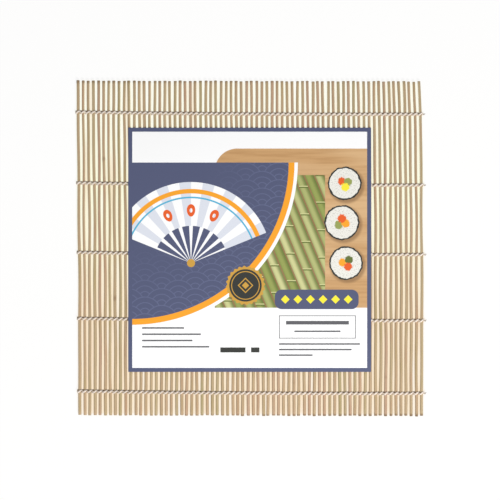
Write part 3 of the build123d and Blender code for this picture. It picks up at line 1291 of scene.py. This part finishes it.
bpy.ops.object.select_all(action="DESELECT")
bpy.ops.mesh.primitive_plane_add(size=FLOOR_SIZE)
floor = bpy.context.object
floor.name = "floor"
pale = {"Base Color": (1.0, 0.98, 0.93), "Roughness": 0.9, "Specular IOR Level": 0.1}
paper = Finish("pale_floor", pale)
print(f"a floor of {FLOOR_SIZE:.0f} by {FLOOR_SIZE:.0f} m")


# %% The rays that see plain white
def seen_directly(finish):
    """1 for a ray that comes from the camera, straight or by a mirror or through glass."""
    camera_ray = finish.node("LightPath", output="Is Camera Ray")
    glossy_ray = finish.node("LightPath", output="Is Glossy Ray")
    clear_ray = finish.node("LightPath", output="Is Transmission Ray")
    return camera_ray.most(glossy_ray).most(clear_ray)


print("the floor has", len(paper.tree.nodes), "nodes before its glow")

# %% The tint in the gaps
FLOOR_GLOW = 0.88
BOUNCE_REACH = 8 * MM
FAR_BOUNCE, MIDDLE_BOUNCE = colour(255, 254, 238), colour(255, 254, 222)
NEAR_BOUNCE, PEACH = colour(253, 233, 203), colour(246, 218, 184)
TONES_PER_METRE, TONE_STEP = 12, 5.3

open_sky = paper.node("AmbientOcclusion", {"samples": 8}, {"Distance": BOUNCE_REACH}, output="AO")
floor_x, floor_y = paper.place()[:2]
floor_along = floor_y / stick_length
bounced = paper.lay(FAR_BOUNCE, MIDDLE_BOUNCE, floor_along.ramp(0.5, 0.1))
bounced = paper.lay(bounced, NEAR_BOUNCE, floor_along.ramp(0.2, -0.25))
gap_number = ((floor_x - first_x) / pitch).floor()
gap_tone = paper.noise(paper.vector(gap_number * TONE_STEP, floor_y * TONES_PER_METRE, 0.0))
bounced = paper.lay(bounced, PEACH, gap_tone.ramp(0.5, 0.75) * 0.6)
bounced = paper.lay(bounced, WHITE, (1.0 - gap_tone).ramp(0.5, 0.8) * 0.6)
opened = open_sky.ramp(0.38, 0.75)
glow = paper.node("Emission", inputs={"Color": paper.lay(bounced, WHITE, opened), "Strength": 1.0})
glow_share = seen_directly(paper) * (1.0 - (1 - FLOOR_GLOW) * opened)
shares = {0: glow_share, 1: Value(paper, paper.shader.outputs[0]), 2: glow}
both = paper.node("MixShader", inputs=shares)
paper.tree.links.new(both.socket, paper.tree.nodes["Material Output"].inputs["Surface"])
floor.data.materials.append(paper.material)
print("the floor takes", len(paper.tree.nodes), "nodes")

# %% [markdown]
# An even white sky lights everything, and to the camera it is plain white. One soft round lamp on
# the near side puts the shadow of each thread above it.

# %% Light
SKY = 0.4
LAMP_SIZE, LAMP_POWER = 0.4, 14
world = bpy.data.worlds.new("studio")
world.use_nodes = True


class Sky(Finish):
    """The nodes of a world, which take part in sums as those of a material do."""

    def __init__(self, world):
        self.tree = world.node_tree


sky = Sky(world)
strength = SKY + (1 - SKY) * seen_directly(sky)
sky.give(world.node_tree.nodes["Background"], {"Color": WHITE, "Strength": strength})
bpy.context.scene.world = world

lamp_place = Vector((0.35, -0.75, 1.0))
lamp_data = bpy.data.lights.new("key", "AREA")
lamp_data.shape = "DISK"
lamp_data.size = LAMP_SIZE
lamp_data.energy = LAMP_POWER
lamp = bpy.data.objects.new("key", lamp_data)
lamp.location = lamp_place
lamp.rotation_euler = (-lamp_place).to_track_quat("-Z", "Y").to_euler()
bpy.context.collection.objects.link(lamp)
print(f"a lamp of {LAMP_POWER} W, {lamp_place.length:.2f} m from the mat")

# %% [markdown]
# The camera looks straight down with a long lens. Its height follows from the length of the
# sticks in the photo, and it is shifted and turned until the mat lies where it does there.

# %% Camera
IMAGE_SIZE = 500
STICK_PIXELS = 334.4
METRES_PER_PIXEL = stick_length / STICK_PIXELS
LENS, SENSOR = 100.0, 36.0
MAT_MIDDLE_PIXEL = (249.4, 248.4)
CAMERA_ROLL = math.radians(-0.25)

distance_up = IMAGE_SIZE * METRES_PER_PIXEL * LENS / SENSOR
camera_data = bpy.data.cameras.new("camera")
camera_data.lens = LENS
camera_data.sensor_width = SENSOR
camera = bpy.data.objects.new("camera", camera_data)
camera.location = (
    mat_middle_x + (IMAGE_SIZE / 2 - MAT_MIDDLE_PIXEL[0]) * METRES_PER_PIXEL,
    -(IMAGE_SIZE / 2 - MAT_MIDDLE_PIXEL[1]) * METRES_PER_PIXEL,
    middle_z + distance_up,
)
camera.rotation_euler = (0, 0, CAMERA_ROLL)
bpy.context.collection.objects.link(camera)
bpy.context.scene.camera = camera
bpy.context.scene.view_settings.view_transform = "Standard"
print(f"camera {distance_up:.3f} m above the middle of the mat")
